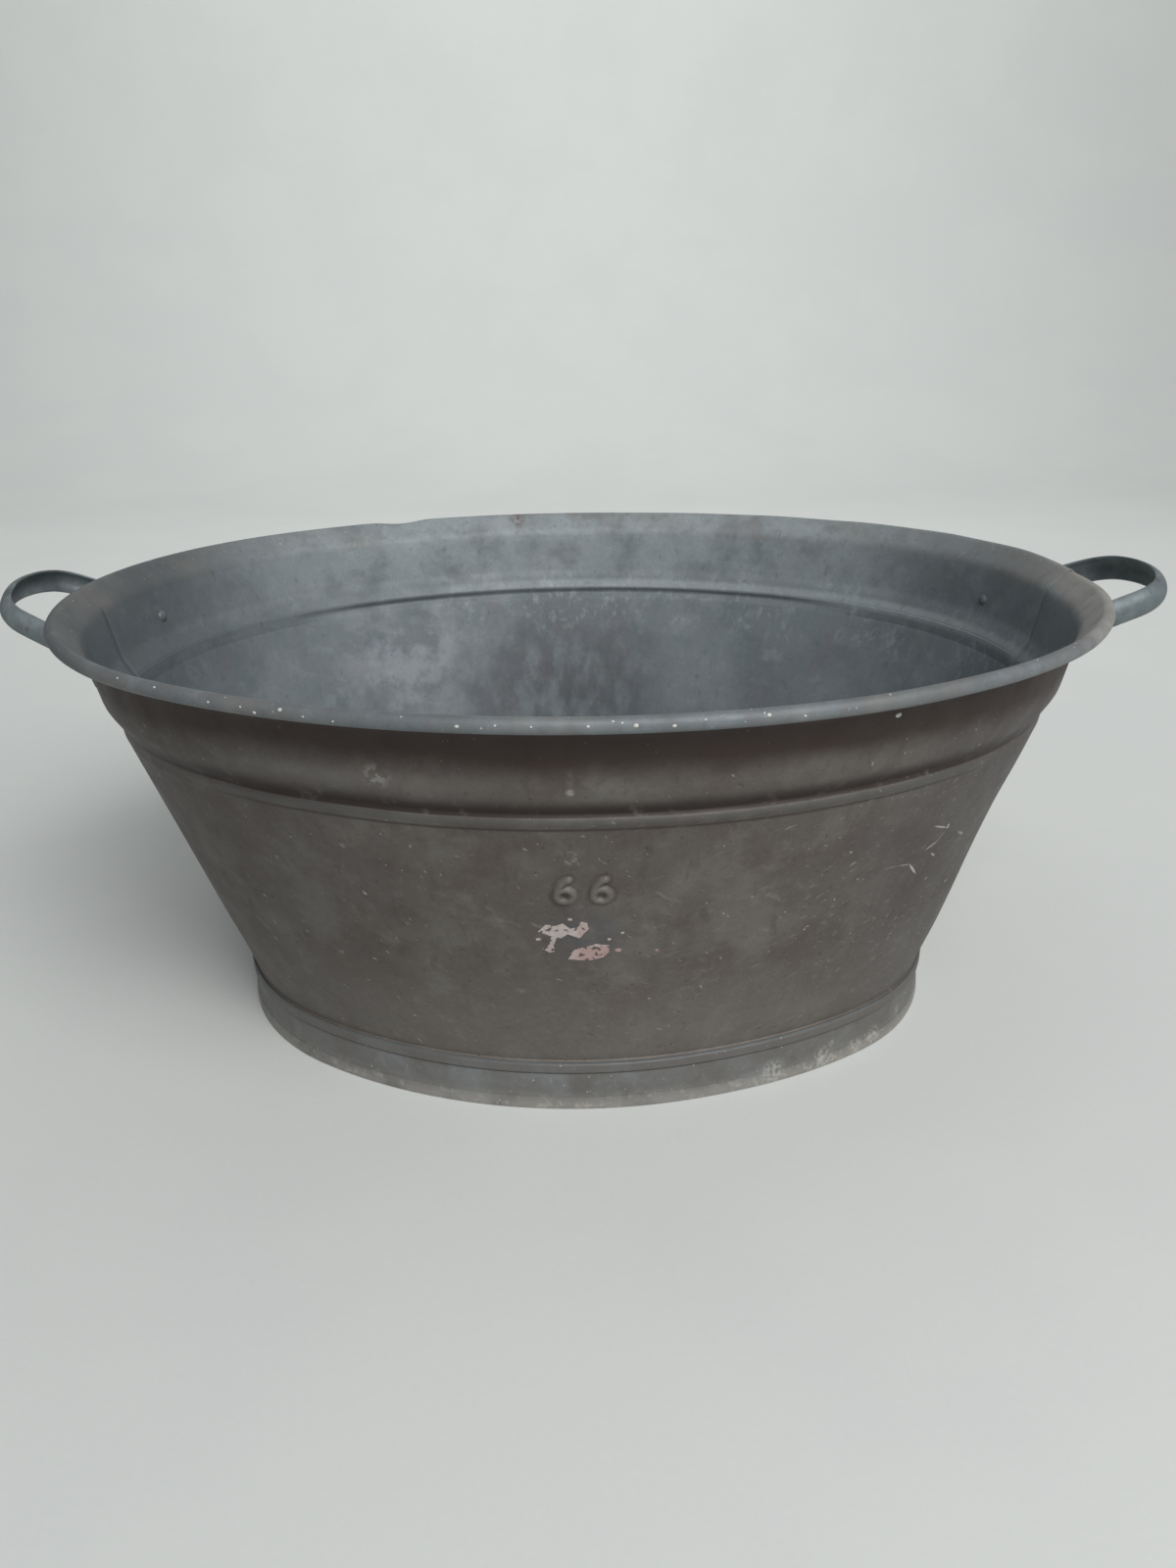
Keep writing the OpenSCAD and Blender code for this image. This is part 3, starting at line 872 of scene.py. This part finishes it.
def foot_zinc():
    """Grey zinc, with a painted shadow in the gap under the bottom's edge, and a pale bloom along the
    ground.
    """
    zinc = Finish("foot_zinc", (110, 109, 107), 0.2, 0.55)
    height = zinc.axis("Z")
    zinc.lay((124, 128, 128), zinc.patches(0.44, 0.62, 0.04), 0.7)
    zinc.lay((98, 94, 90), zinc.patches(0.50, 0.68, 0.025, 3), 0.6)
    to_right = zinc.ramp(zinc.axis("X"), 0.06, 0.20)
    zinc.lay((98, 92, 86), to_right, 0.5)
    zinc.grain(0.004, 0.05)
    zinc.grain(0.0012, 0.08, 2)
    # Painted shadow in the gap under the bottom's turned edge
    painted_shadow_under_strip = zinc.band("Z", strip_foot.y - 0.0016, strip_foot.y, 0.0006)
    on_strip = zinc.ramp(height, strip_foot.y - 0.0004, strip_foot.y)
    zinc.lay((96, 92, 89), on_strip, 0.6)
    zinc.lay((58, 52, 48), painted_shadow_under_strip, 0.75)
    foot_edge = zinc.ramp(height, 0.014, 0.001)
    edge_patches = zinc.patches(0.25, 0.55, 0.03, 11)
    zinc.lay((158, 153, 147), zinc.both(foot_edge, edge_patches), 0.65)
    bloom = zinc.both(zinc.patches(0.54, 0.66, 0.005, 5, 5), foot_edge)
    zinc.lay((180, 176, 166), bloom, 0.5)
    crust = zinc.patches(0.42, 0.56, 0.003, 13, 4)
    for place, reach in crust_places:
        crusted = zinc.both(crust, zinc.near(place, reach, 0.6 * reach))
        zinc.lay((188, 186, 178), crusted, 0.55)
    zinc.lay((196, 193, 187), zinc.patches(0.715, 0.75, 0.0026, 7, 2), 0.7)
    zinc.relief(zinc.cloud(0.003), 0.0001)
    zinc.gloss(zinc.cloud(0.02, 9), 0.62, 0.48)
    return zinc.done()


hoop_material = foot_zinc()
hoop.data.materials.append(hoop_material)
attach(hoop, "root")
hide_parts("foot_hoop")

# The turned edge of the bottom has weathered like the hoop
bottom.data.materials.append(hoop_material)
for face in bottom.data.polygons:
    if inset_of(face.center) < wall_foot.x:
        face.material_index = 1
swell_foot(bottom)
swell_foot(hoop)

# Handles. Straps of thicker steel pressed into a hollow half round and bent into a loop that rises
# outwards. Their ends are flattened into ears on the collar. They were dipped in zinc, which rounds
# off the edges, and have been bent a little to one side in use.
strap_height, strap_depth, strap_gauge = 0.016, 0.0055, 0.0015
handle_reach, handle_width = 0.046, 0.120
grip_radius, corner_radius = 0.084, 0.033
leg_spread, handle_tilt = math.radians(12.5), math.radians(18)
leg_room, leg_lap, ear_cut, strap_edge = 0.0092, 0.006, 0.003, 0.0005
edge_angle = math.radians(60)
strap_spread = {"right": 1.12, "left": 1.0}
# Where each handle has been pulled, how far, and how far around
handle_pulls = {
    "right": (
        ((0.376, 0, 0.279), (0.003, -0.006, 0.001), 0.075),
        ((0.335, 0.058, 0.272), (0, 0, -0.004), 0.045),
    ),
    "left": (((-0.376, 0, 0.279), (0.008, 0.005, 0.0025), 0.075),),
}

# Where the legs pass under the rim, and the arcs of the loop from there on
leg_x = end_centre + math.sqrt(end_radius**2 - (handle_width / 2) ** 2)
leg_z = tub_height - leg_room - strap_height / 2 / math.cos(handle_tilt)
handle_end = (half_length + handle_reach - leg_x) / math.cos(handle_tilt)
grip_middle = Vector((handle_end - grip_radius, 0, 0))
orbit = grip_radius - corner_radius
corner_side = handle_width / 2 * math.cos(leg_spread) - corner_radius - grip_middle.x * math.sin(leg_spread)
grip_turn = math.asin(corner_side / orbit) - leg_spread
corner_turn = math.pi / 2 - leg_spread - grip_turn
corner_middle = grip_middle + orbit * Vector((math.cos(grip_turn), -math.sin(grip_turn), 0))
leg_heading = Vector((-math.cos(leg_spread), -math.sin(leg_spread), 0))
leg_length = (corner_middle.x + corner_radius * math.sin(leg_spread) + leg_lap) / math.cos(leg_spread)
leg_rows, grip_steps, corner_steps = 8, 14, 20
leg_step = leg_length / leg_rows * leg_heading
leg_foot = Vector((leg_x, 0, leg_z))

# The strap's middle line, its crown outwards
strap_curve = (strap_height**2 / 4 + strap_depth**2) / (2 * strap_depth)
half_opening = math.acos(1 - strap_depth / strap_curve)
strap_middle = strap_curve - strap_gauge / 2
strap_points = 17
strap_line = []
for i in range(strap_points):
    around = half_opening * (2 * i / (strap_points - 1) - 1)
    reach = handle_end - strap_curve + strap_middle * math.cos(around)
    strap_line.append(Vector((half_length - leg_x - reach, leg_z + strap_middle * math.sin(around))))


def handle_zinc():
    """Bluish zinc, worn smooth by hands, with dirt in its hollows."""
    zinc = Finish("handle_zinc", (98, 107, 110), 0.25, 0.5)
    zinc.lay((122, 130, 132), zinc.patches(0.42, 0.68, 0.02), 0.7)
    zinc.lay((80, 88, 93), zinc.patches(0.5, 0.72, 0.014, 3), 0.6)
    zinc.lay((80, 74, 68), zinc.patches(0.62, 0.72, 0.006, 5), 0.5)
    zinc.grain(0.0016, 0.07)
    zinc.relief(zinc.cloud(0.002), 0.00008)
    zinc.relief(zinc.cloud(0.008, 7), 0.0003)
    zinc.gloss(zinc.cloud(0.01, 9), 0.62, 0.46)
    return zinc.done()


handle_material = handle_zinc()


def ears_of(side, outwards):
    """The ends of a handle's legs with their ears: the pressed shape, cut off under the rim."""
    deselect()
    pressed = frame["nodes"][side + "_handle"]
    pressed.select_set(True)
    bpy.context.view_layer.objects.active = pressed
    bpy.ops.object.duplicate()
    ears = bpy.context.object
    ears.parent = None
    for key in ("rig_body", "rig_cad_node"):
        del ears[key]
    enter("EDIT")
    select_mesh()
    bpy.ops.mesh.remove_doubles(threshold=weld)
    bpy.ops.mesh.bisect(plane_co=(outwards * (leg_x - ear_cut), 0, 0), plane_no=(outwards, 0, 0),
                        use_fill=True, clear_outer=True)
    enter("OBJECT")
    bpy.ops.object.shade_smooth_by_angle(angle=smooth_angle)
    return ears


for side, turn in (("right", 0), ("left", math.pi)):
    ears = ears_of(side, round(math.cos(turn)))
    handle = draw_line(side + "_strap_handle", strap_line)
    sweep(
        [
            (grip_steps, grip_turn, leg_foot + grip_middle),
            (corner_steps, corner_turn, leg_foot + corner_middle),
        ]
    )
    for _ in range(leg_rows):
        bpy.ops.mesh.extrude_region_move(TRANSFORM_OT_translate={"value": leg_step})
    enter("OBJECT")
    apply(handle, "MIRROR", use_axis=(False, True, False))
    enter("EDIT")
    crown = leg_x + handle_end - 2 * strap_gauge
    face_out(handle, lambda face: face.center.x > crown and face.normal.x < 0)
    apply(handle, "SOLIDIFY", thickness=strap_gauge, offset=0, use_even_offset=True)
    apply(handle, "BEVEL", width=strap_edge, segments=3, limit_method="ANGLE", angle_limit=edge_angle)
    enter("EDIT")
    select_mesh()
    bpy.ops.transform.resize(value=(1, 1, strap_spread[side]), center_override=leg_foot)
    bpy.ops.transform.rotate(value=handle_tilt, orient_axis="Y", center_override=leg_foot)
    bpy.ops.transform.rotate(value=turn, orient_axis="Z", center_override=(0, 0, 0))
    enter("OBJECT")
    bpy.ops.object.shade_smooth_by_angle(angle=smooth_angle)
    ears.select_set(True)
    bpy.ops.object.join()
    for place, move, reach in handle_pulls[side]:
        dent(handle, place, move, reach)
    handle.data.materials.clear()
    handle.data.materials.append(handle_material)
    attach(handle, "root")
    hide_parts(side + "_handle")

# Rivets. Zinc-coated steel rivets, one through each ear of the handles and the collar, closed with a
# domed head on both sides.
rivet_pairs = [frame["nodes"][side + "_handle_rivets"] for side in ("left", "right")]


def rivet_zinc():
    """Bluish zinc with darker clouds."""
    zinc = Finish("rivet_zinc", (102, 109, 111), 0.25, 0.55)
    zinc.lay((84, 88, 90), zinc.patches(0.45, 0.65, 0.003), 0.6)
    zinc.grain(0.001, 0.08)
    zinc.gloss(zinc.cloud(0.002), 0.62, 0.5)
    return zinc.done()


rivet_material = rivet_zinc()
for rivets in rivet_pairs:
    rivets.data.materials.clear()
    rivets.data.materials.append(rivet_material)

# Label scraps. Faded flakes and bits are left of a paper label that was glued on under the number.
# Nothing can be read on them. Their corners are in millimetres along and up the wall.
upper_flake = [(-34, 144), (-30, 149), (-25, 148), (-21, 150), (-17, 146), (-13, 147), (-11, 151),
               (-8, 150), (-7, 146), (-12, 139), (-18, 142), (-22, 139), (-28, 141)]
tail_flake = [(-27, 140), (-24, 140), (-26, 133), (-25, 129), (-28, 128), (-32, 131), (-28, 134)]
lower_flake = [(-18, 123), (-15, 130), (-9, 132), (-3, 134), (4, 133), (4, 128), (1, 124), (-5, 122),
               (-12, 122)]
bits = [(-17, 153, 1.3), (-34, 138, 1.5), (9, 129, 2.0), (30, 127, 1.3), (4, 137.5, 1.2), (11, 142, 1.0)]
bit_corners, bit_flatness = (0.3, 1.6, 2.6, 3.9, 5.2), 0.7
flake_cuts, bit_cuts = 11, 3
flakes = [(outline, flake_cuts) for outline in (upper_flake, tail_flake, lower_flake)]
for x, z, size in bits:
    outline = [(x + size * math.cos(a), z + bit_flatness * size * math.sin(a)) for a in bit_corners]
    flakes.append((outline, bit_cuts))
paper_thickness, paper_gap, crumple = 0.0003, 0.0002, 0.0003
hole_size, hole_level = 0.0024, 0.36


def faded_paper():
    """Bleached paper, rosy where its print has faded, with grey wear."""
    paper = Finish("faded_paper", (176, 160, 158), 0, 0.85)
    paper.lay((190, 182, 178), paper.patches(0.45, 0.62, 0.005), 0.7)
    lower = paper.ramp(paper.axis("Z"), 0.1345, 0.1300)
    paper.lay((166, 130, 125), lower, 0.65)
    paper.lay((172, 140, 138), paper.patches(0.5, 0.66, 0.007, 3), 0.6)
    to_left = paper.ramp(paper.axis("X"), -0.009, -0.016)
    paper.lay((186, 178, 172), to_left, 0.5)
    paper.lay((104, 96, 93), paper.patches(0.58, 0.68, 0.0016, 5), 0.7)
    paper.grain(0.0008, 0.1)
    paper.relief(paper.cloud(0.001), 0.0001)
    return paper.done()


scraps = []
for number, (outline, cuts) in enumerate(flakes):
    flake = draw_points([Vector((x / 1000, -half_width, z / 1000)) for x, z in outline])
    scraps.append(flake)
    bpy.ops.mesh.edge_face_add()
    bpy.ops.mesh.quads_convert_to_tris()
    bpy.ops.mesh.subdivide(number_cuts=cuts)
    bpy.ops.transform.vertex_random(offset=crumple, seed=number)
    choose(flake, "FACE", lambda co: noise.noise(co / hole_size) > hole_level)
    bpy.ops.mesh.delete(type="FACE")
    enter("OBJECT")
    apply(flake, "SHRINKWRAP", target=front_wall, wrap_method="PROJECT", use_project_y=True,
          use_negative_direction=False, use_positive_direction=True, offset=paper_gap)
    enter("EDIT")
    face_out(flake, lambda face: face.normal.y > 0)
    apply(flake, "SOLIDIFY", thickness=paper_thickness, offset=1)


def joined(pieces, name):
    """Joins pieces into one with a name."""
    deselect()
    for piece in pieces:
        piece.select_set(True)
    bpy.context.view_layer.objects.active = pieces[0]
    bpy.ops.object.join()
    bpy.context.object.name = name
    return bpy.context.object


label = joined(scraps, "label_scraps")
label.data.materials.append(faded_paper())
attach(label, "root")

# Paint specks. Drops of white paint that have fallen on the front of the rim and under it and dried
# flat there. Their places and radii are in millimetres.
speck_places = [
    (-238, -188, 282, 0.7), (-215, -204, 282, 0.8), (-185, -223, 280, 0.7), (-168, -231, 280, 0.6),
    (-161, -234, 278, 1.0), (-148, -239, 281, 1.1), (-137, -244, 279, 0.6), (-123, -249, 278, 0.6),
    (-67, -265, 280, 1.0), (-50, -267, 281, 0.6), (-34, -267, 280, 0.6), (-9, -268, 280, 0.8),
    (2, -267, 282, 0.6), (6, -267, 281, 0.6), (12, -268, 280, 1.2), (29, -267, 279, 1.0),
    (43, -265, 281, 0.6), (72, -261, 281, 1.1), (89, -258, 279, 0.7), (144, -222, 265, 1.8),
]
speck_shape, speck_unevenness = (1, 0.75, 0.35), 0.2
deselect()
specks = []
bpy.context.view_layer.update()
for number, (x, y, z, size) in enumerate(speck_places):
    _, place, out, _ = front_wall.closest_point_on_mesh(Vector((x, y, z)) / 1000)
    bpy.ops.mesh.primitive_ico_sphere_add(subdivisions=3, radius=size / 1000, location=place,
                                          rotation=out.to_track_quat("Z", "Y").to_euler())
    specks.append(bpy.context.object)
    enter("EDIT")
    bpy.ops.transform.resize(value=speck_shape, orient_type="LOCAL")
    bpy.ops.transform.vertex_random(offset=speck_unevenness * size / 1000, seed=number)
    bpy.ops.mesh.vertices_smooth(factor=0.5)
    enter("OBJECT")
    bpy.ops.object.transform_apply(location=True, rotation=True)
paint = joined(specks, "paint_specks")
bpy.ops.object.shade_smooth()


def dried_paint():
    """Dull white paint, dirty in places."""
    coat = Finish("dried_paint", (198, 196, 191), 0, 0.6)
    coat.lay((168, 163, 156), coat.patches(0.45, 0.65, 0.0008), 0.6)
    coat.grain(0.0005, 0.05)
    coat.relief(coat.cloud(0.0005), 0.00005)
    return coat.done()


paint.data.materials.append(dried_paint())
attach(paint, "root")

# Floor. A plain pale sweep of matt paper that the tub stands on. It bends up behind the tub into a
# backdrop.
floor_size, floor_middle = 9, (0, -1.2, 0)
floor_rear, backdrop_height, backdrop_bend = 3, 5, 1.2
bpy.ops.mesh.primitive_plane_add(size=floor_size, location=floor_middle)
floor = bpy.context.object
floor.name = "floor_sweep"
bpy.ops.object.transform_apply(location=True)
choose(floor, "VERT", lambda co: co.y > floor_rear)
bpy.ops.mesh.extrude_region_move(TRANSFORM_OT_translate={"value": (0, 0, backdrop_height)})
choose(floor, "VERT", lambda co: co.y > floor_rear and co.z < backdrop_height / 2)
bpy.ops.mesh.bevel(offset=backdrop_bend, segments=16, affect="EDGES")
enter("OBJECT")
bpy.ops.object.shade_smooth()


def floor_paper():
    """Matt pale paper."""
    paper = Finish("floor_paper", (208, 210, 207), 0, 0.9)
    paper.lay((204, 206, 204), paper.patches(0.4, 0.6, 0.3), 0.5)
    paper.grain(0.004, 0.01)
    return paper.done()


floor.data.materials.append(floor_paper())

# Light. A large soft lamp hangs above, to the right and in front, and another one lights the backdrop.
# The room around them is pale.
world = bpy.data.worlds.new("pale_room")
bpy.context.scene.world = world
world.use_nodes = True
room = world.node_tree.nodes["Background"]
room.inputs["Color"].default_value = tone(225, 230, 232)
room.inputs["Strength"].default_value = 0.38


def soft_lamp(place, target, width, height, power):
    bpy.ops.object.light_add(type="AREA", location=place)
    lamp = bpy.context.object
    lamp.data.shape = "RECTANGLE"
    lamp.data.size = width
    lamp.data.size_y = height
    lamp.data.energy = power
    lamp.rotation_euler = (Vector(target) - Vector(place)).to_track_quat("-Z", "Y").to_euler()


soft_lamp(place=(0.9, -2.0, 2.3), target=(0, 0, 0.15), width=1.6, height=1.6, power=82)
soft_lamp(place=(0, 1.0, 2.2), target=(0, 3.3, 0.9), width=3.0, height=0.8, power=38)

# Camera. It has the photograph's viewpoint, in front of the tub and a little above the rim, and looks
# down at the tub. Angles are in radians.
camera_place = Vector((-0.0293, -0.7230, 0.4479))
camera_yaw, camera_pitch, camera_roll = -0.04396, 0.40470, -0.00820
focal_pixels, picture_height, sensor = 1134.8, 1600, 36.0
level = Vector((-math.sin(camera_yaw), math.cos(camera_yaw), 0))
across = Vector((math.cos(camera_yaw), math.sin(camera_yaw), 0))
rise = math.sin(camera_pitch) * level + math.cos(camera_pitch) * Vector((0, 0, 1))
ahead = math.cos(camera_pitch) * level - math.sin(camera_pitch) * Vector((0, 0, 1))
right = math.cos(camera_roll) * across + math.sin(camera_roll) * rise
up = math.cos(camera_roll) * rise - math.sin(camera_roll) * across
bpy.ops.object.camera_add()
camera = bpy.context.object
camera.matrix_world = Matrix.Translation(camera_place) @ Matrix((right, up, -ahead)).transposed().to_4x4()
camera.data.sensor_width = sensor
camera.data.lens = focal_pixels * sensor / picture_height
camera.data.clip_start = 0.05
bpy.context.scene.camera = camera
bpy.context.scene.view_settings.view_transform = "Standard"
